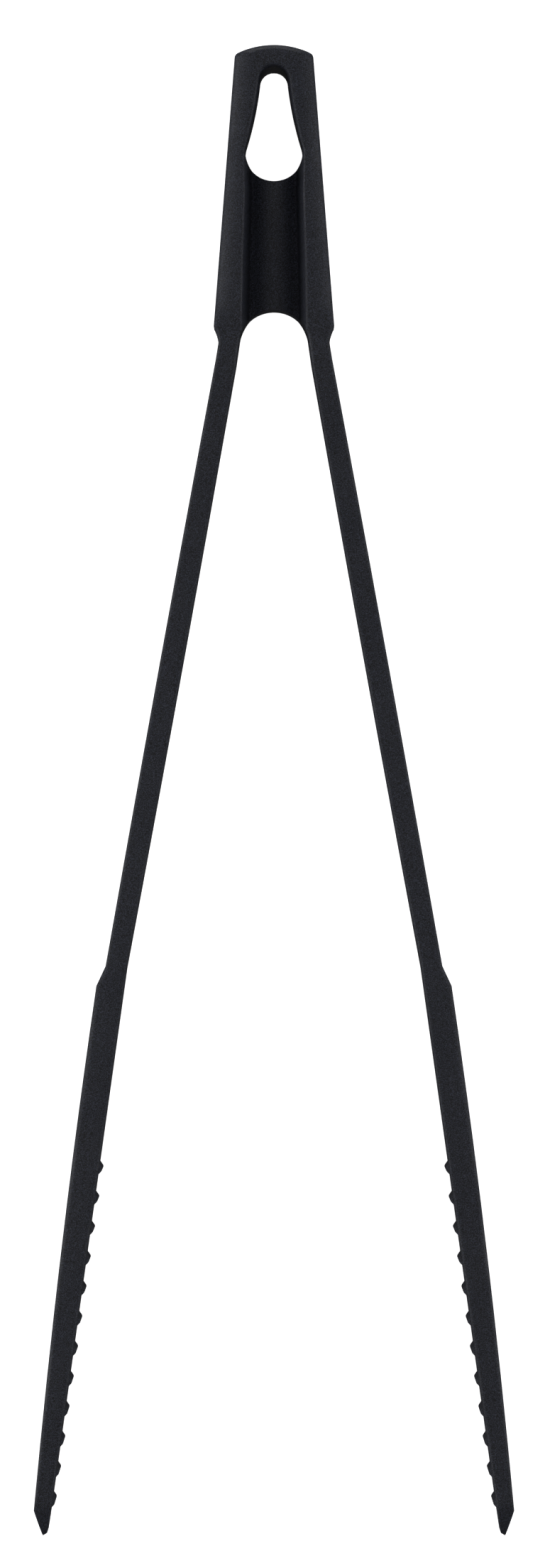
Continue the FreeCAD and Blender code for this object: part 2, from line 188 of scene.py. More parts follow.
def shaped(solid: bmesh.types.BMesh, tool: bmesh.types.BMesh, way: Cut) -> bmesh.types.BMesh:
    """Shape one solid with another, and clean the faces that this leaves.

    Args:
        solid: The solid that is shaped. It is freed.
        tool: The solid that shapes it. It is freed.
        way: Whether the tool is taken away, added or kept in common.

    Returns:
        The new solid.
    """
    holders = []
    for name, source in (("shaped", solid), ("tool", tool)):
        mesh = bpy.data.meshes.new(name)
        source.to_mesh(mesh)
        source.free()
        holder = bpy.data.objects.new(name, mesh)
        bpy.context.scene.collection.objects.link(holder)
        holders.append(holder)
    modifier = holders[0].modifiers.new("shape", "BOOLEAN")
    modifier.operation = way.value
    modifier.solver = "EXACT"
    modifier.object = holders[1]
    depsgraph = bpy.context.evaluated_depsgraph_get()
    result = bpy.data.meshes.new_from_object(holders[0].evaluated_get(depsgraph))
    made = bmesh.new()
    made.from_mesh(result)
    for holder in holders:
        mesh = holder.data
        bpy.data.objects.remove(holder)
        bpy.data.meshes.remove(mesh)
    bpy.data.meshes.remove(result)
    bmesh.ops.remove_doubles(made, verts=made.verts, dist=1e-4)
    bmesh.ops.dissolve_limit(made, angle_limit=math.radians(0.2), verts=made.verts,
                             edges=made.edges, delimit={"NORMAL"})
    return made


def round_off(solid: bmesh.types.BMesh, wanted: Callable[[bmesh.types.BMEdge], bool],
              width: float, segments: int = 4) -> None:
    """Round the edges of a solid that a test picks.

    Args:
        solid: The solid.
        wanted: The test of an edge.
        width: The width of the rounding.
        segments: The number of facets across it.
    """
    edges = [edge for edge in solid.edges if edge.is_manifold and wanted(edge)]
    bmesh.ops.bevel(solid, geom=edges, offset=width, offset_type="OFFSET", segments=segments,
                    profile=0.5, affect="EDGES", clamp_overlap=False, material=-1)
    bmesh.ops.remove_doubles(solid, verts=solid.verts, dist=1e-4)


def cut_across(solid: bmesh.types.BMesh, spot: Vector, normal: Vector) -> None:
    """Add a line of vertices where a plane crosses a solid."""
    bmesh.ops.bisect_plane(solid, geom=solid.verts[:] + solid.edges[:] + solid.faces[:],
                           dist=1e-5, plane_co=spot, plane_no=normal)


def bend_of(edge: bmesh.types.BMEdge) -> float:
    """Give the angle between an edge's two faces, in degrees."""
    return math.degrees(edge.calc_face_angle(0.0))


def middle_of(edge: bmesh.types.BMEdge) -> Vector:
    """Give the middle of an edge."""
    return (edge.verts[0].co + edge.verts[1].co) / 2


def turned(solid: bmesh.types.BMesh, matrix: Matrix) -> bmesh.types.BMesh:
    """Move a solid by a matrix, and keep its faces outwards if the matrix mirrors it."""
    bmesh.ops.transform(solid, matrix=matrix, verts=solid.verts)
    if matrix.determinant() < 0:
        bmesh.ops.reverse_faces(solid, faces=solid.faces)
    return solid


def lean(corner: Point, degrees: float) -> Matrix:
    """Turn from a strip's own directions to the tongs', about a corner of the right side."""
    return Matrix.Translation((*corner, 0.0)) @ Matrix.Rotation(math.radians(degrees), 4, "Z")


def finished(name: str, solid: bmesh.types.BMesh, side: Side,
             material: bpy.types.Material) -> bpy.types.Object:
    """Make an object of a solid, in metres, at the origin.

    Args:
        name: The piece's name.
        solid: The solid of the right side, in millimetres. It is freed.
        side: The side that the piece is for.
        material: Its finish.

    Returns:
        The piece.
    """
    turned(solid, Matrix.Diagonal((side.value * MM, MM, MM, 1.0)))
    mesh = bpy.data.meshes.new(name)
    solid.to_mesh(mesh)
    solid.free()
    mesh.shade_smooth()
    mesh.set_sharp_from_angle(angle=math.radians(SHARP_ANGLE))
    mesh.materials.append(material)
    piece = bpy.data.objects.new(name, mesh)
    bpy.context.scene.collection.objects.link(piece)
    weighted = piece.modifiers.new("even_normals", "WEIGHTED_NORMAL")
    weighted.keep_sharp = True
    weighted.weight = 100
    return piece


# ---------------------------------------------------------------- finishes

def new_group(name: str, inputs: Iterable[tuple[str, str, float]],
              outputs: Iterable[tuple[str, str]]) -> bpy.types.NodeTree:
    """Start a shader node group.

    Args:
        name: The group's name.
        inputs: Each input's name, socket type and default.
        outputs: Each output's name and socket type.

    Returns:
        The group, with its input and output nodes.
    """
    group = bpy.data.node_groups.new(name, "ShaderNodeTree")
    for label, kind, default in inputs:
        socket = group.interface.new_socket(label, in_out="INPUT", socket_type=kind)
        if kind == "NodeSocketFloat":
            socket.default_value = default
    for label, kind in outputs:
        group.interface.new_socket(label, in_out="OUTPUT", socket_type=kind)
    group.nodes.new("NodeGroupInput")
    group.nodes.new("NodeGroupOutput")
    return group


def add_node(tree: bpy.types.NodeTree, kind: str, **settings: object) -> bpy.types.Node:
    """Add a node to a tree; a setting is a property, or a socket's value if it names an input."""
    node = tree.nodes.new(kind)
    for key, setting in settings.items():
        label = key.replace("_", " ").title()
        if label in node.inputs:
            node.inputs[label].default_value = setting
        else:
            setattr(node, key, setting)
    return node


def grain_group() -> bpy.types.NodeTree:
    """Make the moulded grain: a fine spark-eroded texture with slow variation.

    Returns:
        A group that turns a position into a fine speckle, a slow mottle and a height.
    """
    group = new_group("moulded_grain",
                      [("Position", "NodeSocketVector", 0.0),
                       ("Speckle Scale", "NodeSocketFloat", 2600.0),
                       ("Mottle Scale", "NodeSocketFloat", 90.0)],
                      [("Speckle", "NodeSocketFloat"), ("Mottle", "NodeSocketFloat"),
                       ("Height", "NodeSocketFloat")])
    given, given_out = group.nodes["Group Input"], group.nodes["Group Output"]
    link = group.links.new
    speckle = add_node(group, "ShaderNodeTexNoise", detail=3.0, roughness=0.65)
    cells = add_node(group, "ShaderNodeTexVoronoi")
    mottle = add_node(group, "ShaderNodeTexNoise", detail=4.0, roughness=0.6)
    half = add_node(group, "ShaderNodeMath", operation="MULTIPLY")
    half.inputs[1].default_value = CELL_SCALE
    height = add_node(group, "ShaderNodeMath", operation="MULTIPLY_ADD")
    height.inputs[1].default_value = CELL_HEIGHT
    for texture in (speckle, cells, mottle):
        link(given.outputs["Position"], texture.inputs["Vector"])
    link(given.outputs["Speckle Scale"], speckle.inputs["Scale"])
    link(given.outputs["Mottle Scale"], mottle.inputs["Scale"])
    link(given.outputs["Speckle Scale"], half.inputs[0])
    link(half.outputs[0], cells.inputs["Scale"])
    link(cells.outputs["Distance"], height.inputs[0])
    link(speckle.outputs["Fac"], height.inputs[2])
    link(speckle.outputs["Fac"], given_out.inputs["Speckle"])
    link(mottle.outputs["Fac"], given_out.inputs["Mottle"])
    link(height.outputs[0], given_out.inputs["Height"])
    return group


def brushed_group() -> bpy.types.NodeTree:
    """Make the drawn lines of rolled steel, which run along Y.

    Returns:
        A group that turns a position into streaks.
    """
    group = new_group("rolled_lines", [("Position", "NodeSocketVector", 0.0),
                                       ("Line Scale", "NodeSocketFloat", 900.0)],
                      [("Streaks", "NodeSocketFloat")])
    link = group.links.new
    stretch = add_node(group, "ShaderNodeMapping")
    stretch.inputs["Scale"].default_value = (1.0, 0.02, 1.0)
    lines = add_node(group, "ShaderNodeTexNoise", detail=2.0, roughness=0.7)
    link(group.nodes["Group Input"].outputs["Position"], stretch.inputs["Vector"])
    link(stretch.outputs["Vector"], lines.inputs["Vector"])
    link(group.nodes["Group Input"].outputs["Line Scale"], lines.inputs["Scale"])
    link(lines.outputs["Fac"], group.nodes["Group Output"].inputs["Streaks"])
    return group


@dataclass(frozen=True)
class NylonFinish:
    """Black glass-filled nylon with a fine matt moulded texture."""

    name: str
    dark: tuple[float, float, float] = (0.0002, 0.0002, 0.0004)
    light: tuple[float, float, float] = (0.0380, 0.0430, 0.0640)
    dark_until: float = 0.44
    light_from: float = 0.62
    smoothest: float = 0.50
    roughest: float = 0.68
    speckle_scale: float = 5600.0
    mottle_scale: float = 90.0
    bump_height: float = 0.00006
    bump_strength: float = 0.9
    gloss: float = 0.30

    def material(self, grain: bpy.types.NodeTree) -> bpy.types.Material:
        """Build the material on Object coordinates.

        Args:
            grain: The moulded grain group.

        Returns:
            The material.
        """
        material = bpy.data.materials.new(self.name)
        material.use_nodes = True
        tree = material.node_tree
        link = tree.links.new
        shader = tree.nodes["Principled BSDF"]
        shader.inputs["Specular IOR Level"].default_value = self.gloss
        place = add_node(tree, "ShaderNodeTexCoord")
        texture = add_node(tree, "ShaderNodeGroup", node_tree=grain)
        texture.inputs["Speckle Scale"].default_value = self.speckle_scale
        texture.inputs["Mottle Scale"].default_value = self.mottle_scale
        tint = add_node(tree, "ShaderNodeValToRGB")
        tint.color_ramp.elements[0].position = self.dark_until
        tint.color_ramp.elements[0].color = (*self.dark, 1.0)
        tint.color_ramp.elements[1].position = self.light_from
        tint.color_ramp.elements[1].color = (*self.light, 1.0)
        sheen = add_node(tree, "ShaderNodeMapRange")
        sheen.inputs["From Min"].default_value = 0.3
        sheen.inputs["From Max"].default_value = 0.7
        sheen.inputs["To Min"].default_value = self.smoothest
        sheen.inputs["To Max"].default_value = self.roughest
        bump = add_node(tree, "ShaderNodeBump")
        bump.inputs["Strength"].default_value = self.bump_strength
        bump.inputs["Distance"].default_value = self.bump_height
        link(place.outputs["Object"], texture.inputs["Position"])
        link(texture.outputs["Speckle"], tint.inputs["Fac"])
        link(texture.outputs["Mottle"], sheen.inputs["Value"])
        link(texture.outputs["Height"], bump.inputs["Height"])
        link(tint.outputs["Color"], shader.inputs["Base Color"])
        link(sheen.outputs["Result"], shader.inputs["Roughness"])
        link(bump.outputs["Normal"], shader.inputs["Normal"])
        return material


@dataclass(frozen=True)
class SteelFinish:
    """Steel with fine lines, bright or blackened."""

    name: str
    dark: tuple[float, float, float]
    light: tuple[float, float, float]
    smoothest: float = 0.25
    roughest: float = 0.45
    line_scale: float = 900.0
    dark_until: float = 0.3
    light_from: float = 0.7
    bump_height: float = 0.00002
    bump_strength: float = 0.25

    def material(self, lines: bpy.types.NodeTree) -> bpy.types.Material:
        """Build the material on Object coordinates.

        Args:
            lines: The rolled lines group.

        Returns:
            The material.
        """
        material = bpy.data.materials.new(self.name)
        material.use_nodes = True
        tree = material.node_tree
        link = tree.links.new
        shader = tree.nodes["Principled BSDF"]
        shader.inputs["Metallic"].default_value = 1.0
        place = add_node(tree, "ShaderNodeTexCoord")
        texture = add_node(tree, "ShaderNodeGroup", node_tree=lines)
        texture.inputs["Line Scale"].default_value = self.line_scale
        tint = add_node(tree, "ShaderNodeValToRGB")
        tint.color_ramp.elements[0].position = self.dark_until
        tint.color_ramp.elements[0].color = (*self.dark, 1.0)
        tint.color_ramp.elements[1].position = self.light_from
        tint.color_ramp.elements[1].color = (*self.light, 1.0)
        sheen = add_node(tree, "ShaderNodeMapRange")
        sheen.inputs["To Min"].default_value = self.smoothest
        sheen.inputs["To Max"].default_value = self.roughest
        bump = add_node(tree, "ShaderNodeBump")
        bump.inputs["Strength"].default_value = self.bump_strength
        bump.inputs["Distance"].default_value = self.bump_height
        link(place.outputs["Object"], texture.inputs["Position"])
        link(texture.outputs["Streaks"], tint.inputs["Fac"])
        link(texture.outputs["Streaks"], sheen.inputs["Value"])
        link(texture.outputs["Streaks"], bump.inputs["Height"])
        link(tint.outputs["Color"], shader.inputs["Base Color"])
        link(sheen.outputs["Result"], shader.inputs["Roughness"])
        link(bump.outputs["Normal"], shader.inputs["Normal"])
        return material


@dataclass
class Finishes:
    """The materials of the tongs."""

    nylon: bpy.types.Material
    sleeve: bpy.types.Material
    spring: bpy.types.Material
    fastener: bpy.types.Material


def make_finishes() -> Finishes:
    """Build each finish once."""
    grain, lines = grain_group(), brushed_group()
    return Finishes(
        nylon=NylonFinish("black_nylon").material(grain),
        sleeve=NylonFinish("flexible_nylon").material(grain),
        spring=SteelFinish("spring_steel", (0.42, 0.42, 0.43), (0.62, 0.62, 0.63)).material(lines),
        fastener=SteelFinish("blackened_steel", (0.030, 0.030, 0.033), (0.075, 0.075, 0.080),
                             smoothest=0.35, roughest=0.5).material(lines))


# ---------------------------------------------------------------- the tongs' own sizes

@dataclass(frozen=True)
class Layout:
    """Where the pieces of the right side meet, in millimetres and degrees."""

    neck: Point = (9.0, 90.0)
    arm_angle: float = 10.3
    arm_thickness: float = 4.2
    jaw: Point = (29.89, -38.0)
    jaw_angle: float = 8.06
    depth: float = 24.0
    arch_radius: float = 6.95
    arch_height: float = 89.95
    arch_end: float = 21.0
    shoulder: Point = (12.14, 93.5)

    @property
    def head_end(self) -> Point:
        """Where the head's casing ends on the arch."""
        angle = math.radians(self.arch_end)
        return (self.arch_radius * math.cos(angle),
                self.arch_height + self.arch_radius * math.sin(angle))


LAYOUT = Layout()


@dataclass
class SpringBand:
    """The U-shaped spring strip, made as two halves that bend at the necks."""

    thickness: float = 0.6
    width: float = 12.0
    leg: float = 38.0
    corner: Point = (6.35, 147.2)
    corner_radius: float = 3.3
    neck_radius: float = 20.0
    arc_steps: int = 12

    def line(self) -> list[Point]:
        """List the points of the right half's centre line, from the leg's end to the crown."""
        tilt = math.radians(LAYOUT.arm_angle)
        neck = Vector(LAYOUT.neck)
        start = neck + Vector((math.sin(tilt), -math.cos(tilt))) * self.leg
        corner = Vector(self.corner)
        crown = Vector((0.0, self.corner[1]))
        points = [tuple(start)]
        for before, turn, after, radius in ((start, neck, corner, self.neck_radius),
                                            (neck, corner, crown, self.corner_radius)):
            back, on = (before - turn).normalized(), (after - turn).normalized()
            half = back.angle(on) / 2
            centre = turn + (back + on).normalized() * (radius / math.sin(half))
            first = turn + back * (radius / math.tan(half)) - centre
            last = turn + on * (radius / math.tan(half)) - centre
            sweep = first.angle_signed(last)
            for step in range(self.arc_steps + 1):
                spot = centre + Matrix.Rotation(-sweep * step / self.arc_steps, 2) @ first
                points.append(tuple(spot))
        points.append(tuple(crown))
        return points

    def strip(self, whole: bool = False, gap: float = 0.0) -> bmesh.types.BMesh:
        """Make the strip.

        Args:
            whole: Whether the left half is made too.
            gap: How much larger it is on every side, for the groove that it lies in.

        Returns:
            The closed solid.
        """
        line = [Vector(spot) for spot in self.line()]
        if whole:
            line += [Vector((-spot.x, spot.y)) for spot in reversed(line[:-1])]
        reach = self.thickness / 2 + gap
        inner, outer = [], []
        for index, spot in enumerate(line):
            ahead = line[min(index + 1, len(line) - 1)] - line[max(index - 1, 0)]
            across = Vector((ahead.y, -ahead.x)).normalized() * reach
            outer.append(tuple(spot + across))
            inner.append(tuple(spot - across))
        half = self.width / 2 + gap
        middle = LAYOUT.depth / 2
        return prism(outer + inner[::-1], middle - half, middle + half)

    def build(self, side: Side, finishes: Finishes) -> bpy.types.Object:
        """Make one half, which bends between the head and its arm."""
        solid = self.strip()
        round_off(solid, lambda edge: bend_of(edge) > 60 and middle_of(edge).x > 0.1, 0.12, 2)
        piece = finished("spring_band_%s" % side.word, solid, side, finishes.spring)
        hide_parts("spring_band")
        bend_at_neck(piece)
        return piece


def bend_at_neck(piece: bpy.types.Object) -> None:
    """Bake a piece's placement into its mesh, so that it sits at the origin."""
    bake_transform(piece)


@dataclass
class Head:
    """The casing of the head: two half shells that meet at mid depth."""

    crown_half_width: float = 7.9
    crown_drop: float = 1.9
    top: float = 150.0
    outer_rounding: float = 0.9
    rail_slope: tuple[float, float] = (4.2, 1.6)
    brow_slope: tuple[float, float] = (1.9, 0.8)
    rail_slope_fade: tuple[float, float] = (93.6, 97.5)
    rim_rounding: float = 0.5
    crown_corner: float = 0.6
    window_top: tuple[float, float] = (2.8, 142.8)
    window_low: tuple[float, float] = (5.75, 128.55)
    window_side_angle: float = 20.0
    window_side_hollow: float = 0.28
    lip: float = 0.45
    side_lip: float = 0.35
    channel_upper: Point = (5.9, 120.0)
    channel_lower_half_width: float = 6.5
    channel_depth: float = 6.8
    channel_draft: float = 1.5
    floor_crown: float = 2.0
    crown_strips: int = 8
    slope_strips: int = 7
    outer_reach: float = 8.0
    rim_reach: float = 6.6
    channel_overshoot: float = 2.0

    @property
    def crown_radius(self) -> float:
        """The radius of the crown's arc."""
        return (self.crown_half_width ** 2 + self.crown_drop ** 2) / (2 * self.crown_drop)

    def outline(self) -> list[Point]:
        """List the corners of the head's outline."""
        radius = self.crown_radius
        spread = math.degrees(math.asin(self.crown_half_width / radius))
        crown = arc((0.0, self.top - radius), radius, 90 - spread, 90, 14)
        arch = arc((0.0, LAYOUT.arch_height), LAYOUT.arch_radius, 90, LAYOUT.arch_end, 22)
        return both_sides(arch + [LAYOUT.shoulder] + crown)

    def window(self) -> list[Point]:
        """List the corners of the keyhole window."""
        low_radius, low_height = self.window_low
        top_radius, top_height = self.window_top
        low = arc((0.0, low_height), low_radius, -90, self.window_side_angle, 26)
        side = bow(low[-1], (top_radius, top_height), -self.window_side_hollow, 8)
        cap = arc((0.0, top_height), top_radius, 0, 90, 14)[1:]
        return both_sides(low + side + cap)

    def channel_rim(self) -> list[Point]:
        """List the corners of the channel's rim."""
        top_radius, top_height = self.window_top
        low_radius, low_height = self.window_low
        cap = arc((0.0, top_height), top_radius + self.lip, 0, 90, 14)
        foot = (self.channel_lower_half_width, LAYOUT.arch_height - 4.0)
        start = (self.channel_lower_half_width, LAYOUT.shoulder[1])
        hip = (low_radius + self.side_lip, low_height)
        lower = bow(start, self.channel_upper, 0.12, 6)
        middle = bow(self.channel_upper, hip, 0.0, 2)
        upper = bow(hip, cap[0], -self.window_side_hollow, 8)
        return both_sides([foot, start] + lower + middle + upper + cap[1:])

    def channel(self) -> bmesh.types.BMesh:
        """Make the solid that the channel leaves open, with a crowned floor."""
        face_height = LAYOUT.depth
        floor_height = face_height - self.channel_depth
        solid = bmesh.new()
        face = ring_face(solid, self.channel_rim(), face_height)
        bmesh.ops.inset_region(solid, faces=[face], thickness=self.channel_draft,
                               depth=-self.channel_depth, use_even_offset=True,
                               use_boundary=True)
        edges = [edge for edge in solid.edges if edge.is_boundary]
        raised = bmesh.ops.extrude_edge_only(solid, edges=edges)["geom"]
        bmesh.ops.translate(solid, vec=(0, 0, self.channel_overshoot),
                            verts=[item for item in raised if isinstance(item, bmesh.types.BMVert)])
        bmesh.ops.holes_fill(solid, edges=[edge for edge in solid.edges if edge.is_boundary])
        bmesh.ops.recalc_face_normals(solid, faces=solid.faces)
        reach = self.channel_upper[0] - self.channel_draft
        for strip in range(1 - self.crown_strips, self.crown_strips):
            cut_across(solid, Vector((reach * strip / self.crown_strips, 0, 0)),
                       Vector((1, 0, 0)))
        for spot in solid.verts:
            if spot.co.z < floor_height + 0.001 and abs(spot.co.x) < reach:
                share = spot.co.x / reach
                spot.co.z += self.floor_crown * (1 - share * share)
        return solid

    def half(self, cutters: Sequence[bmesh.types.BMesh]) -> bmesh.types.BMesh:
        """Make the upper half shell.

        Args:
            cutters: The solids of the band's groove and the screws' seats. They are freed.

        Returns:
            The half shell.
        """
        middle, face = LAYOUT.depth / 2, LAYOUT.depth
        solid = prism(self.outline(), middle, face)
        top = self.top - self.crown_drop
        round_off(solid, lambda edge: abs(edge.verts[0].co.z - edge.verts[1].co.z) > 1
                  and middle_of(edge).y > top - 0.01 and bend_of(edge) > 30, self.crown_corner, 4)
        round_off(solid, lambda edge: all(spot.co.z > face - 0.01 for spot in edge.verts)
                  and middle_of(edge).y > LAYOUT.shoulder[1] + 1.0
                  and (abs(middle_of(edge).x) > self.outer_reach or middle_of(edge).y > top - 2.0),
                  self.outer_rounding, 6)
        solid = shaped(solid, self.channel(), Cut.REMOVE)
        solid = shaped(solid, prism(self.window(), middle - 1, face + 3), Cut.REMOVE)
        for cutter in cutters:
            solid = shaped(solid, cutter, Cut.REMOVE)
        round_off(solid, lambda edge: all(spot.co.z > face - 0.01 for spot in edge.verts)
                  and bend_of(edge) > 40 and abs(middle_of(edge).x) < self.rim_reach
                  and middle_of(edge).y < top - 1.0, self.rim_rounding, 5)
        self.slope_rails(solid)
        return solid

    def slope_rails(self, solid: bmesh.types.BMesh) -> None:
        """Let the face fall away gently towards the head's outer edges."""
        foot, brow = Vector(LAYOUT.shoulder), Vector((self.crown_half_width,
                                                      self.top - self.crown_drop))
        run = (brow - foot).normalized()
        out = Vector((run.y, -run.x))
        for step in range(1, self.slope_strips + 1):
            share = step / self.slope_strips
            for sign in (-1, 1):
                spot = foot - out * self.rail_slope[0] * share
                cut_across(solid, Vector((sign * spot.x, spot.y, 0)),
                           Vector((sign * out.x, out.y, 0)))
            drop = (self.brow_slope[0] + self.crown_drop) * share
            cut_across(solid, Vector((0, self.top - drop, 0)), Vector((0, 1, 0)))
        low, high = self.rail_slope_fade
        for step in range(self.slope_strips + 1):
            cut_across(solid, Vector((0, low + (high - low) * step / self.slope_strips, 0)),
                       Vector((0, 1, 0)))
        radius = self.crown_radius
        for spot in solid.verts:
            if spot.co.z < LAYOUT.depth - self.outer_rounding - 0.01:
                continue
            beside = -(Vector((abs(spot.co.x), spot.co.y)) - foot).dot(out)
            below = (radius - (spot.co.xy - Vector((0.0, self.top - radius))).length
                     if spot.co.y > self.top - radius / 2 else radius)
            drops = [drop * max(1 - near / width, 0.0) ** 2 for near, (width, drop)
                     in ((beside, self.rail_slope), (below, self.brow_slope))]
            fade = min(max((spot.co.y - low) / (high - low), 0.0), 1.0)
            spot.co.z -= max(drops) * fade

    def build(self, band: SpringBand, finishes: Finishes) -> list[bpy.types.Object]:
        """Make both shells.

        Args:
            band: The spring band that lies in them.
            finishes: The materials.

        Returns:
            The front shell and the rear shell.
        """
        pieces = []
        flip = Matrix.Translation((0, 0, LAYOUT.depth)) @ Matrix.Scale(-1, 4, (0, 0, 1))
        for name, place in (("head_front_shell", Matrix.Identity(4)), ("head_rear_shell", flip)):
            cutters = [band.strip(whole=True, gap=0.1)]
            if name == "head_rear_shell":
                cutters = [turned(seat, flip) for seat in Screws().seats()] + cutters
            solid = turned(self.half(cutters), place)
            piece = finished(name + "_skin", solid, Side.RIGHT, finishes.nylon)
            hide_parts(name)
            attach(piece, "head")
            pieces.append(piece)
        return pieces


@dataclass
class Screws:
    """The two countersunk screws that hold the head's shells together."""

    heights: tuple[float, float] = (101.5, 117.5)
    radius: float = 1.1
    head_radius: float = 2.1
    head_height: float = 1.2
    length: float = 8.5
    base: float = 7.0
    recess: float = 0.9
    seat_depth: float = 4.0
    seat_gap: float = 0.08
    head_rim: float = 0.15
    point: tuple[float, float] = (0.35, 0.6)
    slot: tuple[float, float] = (2.3, 0.42)
    slot_turn: float = 30.0
    facets: int = 32

    def blank(self, height: float) -> bmesh.types.BMesh:
        """Make one screw without its recess."""
        point_radius, point_length = self.point
        solid = bmesh.new()
        profile = [(0.0, 0.0), (self.head_radius, 0.0), (self.head_radius, self.head_rim),
                   (self.radius, self.head_height), (self.radius, self.length - point_length),
                   (point_radius, self.length), (0.0, self.length)]
        spots = [solid.verts.new((x, 0.0, z)) for x, z in profile]
        edges = [solid.edges.new(pair) for pair in zip(spots, spots[1:])]
        bmesh.ops.spin(solid, geom=spots + edges, cent=(0, 0, 0), axis=(0, 0, 1),
                       angle=math.tau, steps=self.facets, use_merge=True)
        bmesh.ops.remove_doubles(solid, verts=solid.verts, dist=1e-4)
        bmesh.ops.recalc_face_normals(solid, faces=solid.faces)
        return turned(solid, Matrix.Translation((0.0, height, self.base)))

    def seats(self) -> list[bmesh.types.BMesh]:
        """Make the solids of both seats, open towards the rear."""
        seats = []
        radius = self.head_radius + self.seat_gap
        middle = self.base + self.head_rim - self.seat_depth / 2
        for height in self.heights:
            seat = bmesh.new()
            bmesh.ops.create_cone(seat, cap_ends=True, segments=self.facets, radius1=radius,
                                  radius2=radius, depth=self.seat_depth)
            bmesh.ops.translate(seat, verts=seat.verts, vec=(0.0, height, middle))
            seats.append(seat)
        return seats

    def build(self, finishes: Finishes) -> bpy.types.Object:
        """Make both screws as one piece."""
        joined = bmesh.new()
        for height in self.heights:
            solid = self.blank(height)
            for turn in (0.0, 90.0):
                slot = bmesh.new()
                bmesh.ops.create_cube(slot, size=1.0)
                bmesh.ops.scale(slot, verts=slot.verts, vec=(*self.slot, 2 * self.recess))
                place = (Matrix.Translation((0.0, height, self.base))
                         @ Matrix.Rotation(math.radians(turn + self.slot_turn), 4, "Z"))
                solid = shaped(solid, turned(slot, place), Cut.REMOVE)
            mesh = bpy.data.meshes.new("screw")
            solid.to_mesh(mesh)
            solid.free()
            joined.from_mesh(mesh)
            bpy.data.meshes.remove(mesh)
        piece = finished("head_screws_detail", joined, Side.RIGHT, finishes.fastener)
        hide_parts("head_screws")
        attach(piece, "head")
        return piece


@dataclass
class Neck:
    """The flexible sleeve between the head and an arm."""

    angle: float = 8.8
    waist: Point = (11.2, 90.0)
    cove_hollow: float = 0.19
    inset: float = 0.06
    end: float = 3.58
    rounding: float = 0.8
    rows: int = 16

    def outline(self) -> list[Point]:
        """List the corners of the neck's outline, from the head down its inner side."""
        tilt = math.radians(LAYOUT.arm_angle)
        half = LAYOUT.arm_thickness / 2
        feet = [(LAYOUT.neck[0] + sign * half * math.cos(tilt) + self.end * math.sin(tilt),
                 LAYOUT.neck[1] + sign * half * math.sin(tilt) - self.end * math.cos(tilt))
                for sign in (-1, 1)]
        inner = arc((0.0, LAYOUT.arch_height), LAYOUT.arch_radius, LAYOUT.arch_end, self.angle, 6)
        corner = (LAYOUT.shoulder[0] - self.inset, LAYOUT.shoulder[1] - 0.02)
        cove = bow(self.waist, corner, -self.cove_hollow, 8)
        return inner + feet + [self.waist] + cove

    def build(self, side: Side, finishes: Finishes) -> bpy.types.Object:
        """Make one sleeve."""
        solid = prism(self.outline(), 0.0, LAYOUT.depth)
        face = LAYOUT.depth
        low, high = LAYOUT.neck[1] - self.end * 0.98, LAYOUT.head_end[1]
        round_off(solid, lambda edge: (all(spot.co.z > face - 0.01 for spot in edge.verts)
                                       or all(spot.co.z < 0.01 for spot in edge.verts))
                  and not (middle_of(edge).y < low + 0.35 and bend_of(edge) > 60
                           and abs((edge.verts[0].co - edge.verts[1].co).x) > 2)
                  and not (middle_of(edge).y > high and
                           abs((edge.verts[0].co - edge.verts[1].co).x) > 2),
                  self.rounding, 4)
        for row in range(1, self.rows):
            height = low + (LAYOUT.shoulder[1] - low) * row / self.rows
            cut_across(solid, Vector((0, height, 0)), Vector((0, 1, 0)))
        piece = finished("neck_sleeve_%s" % side.word, solid, side, finishes.sleeve)
        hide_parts("%s_neck_sleeve" % side.word)
        bend_at_neck(piece)
        return piece


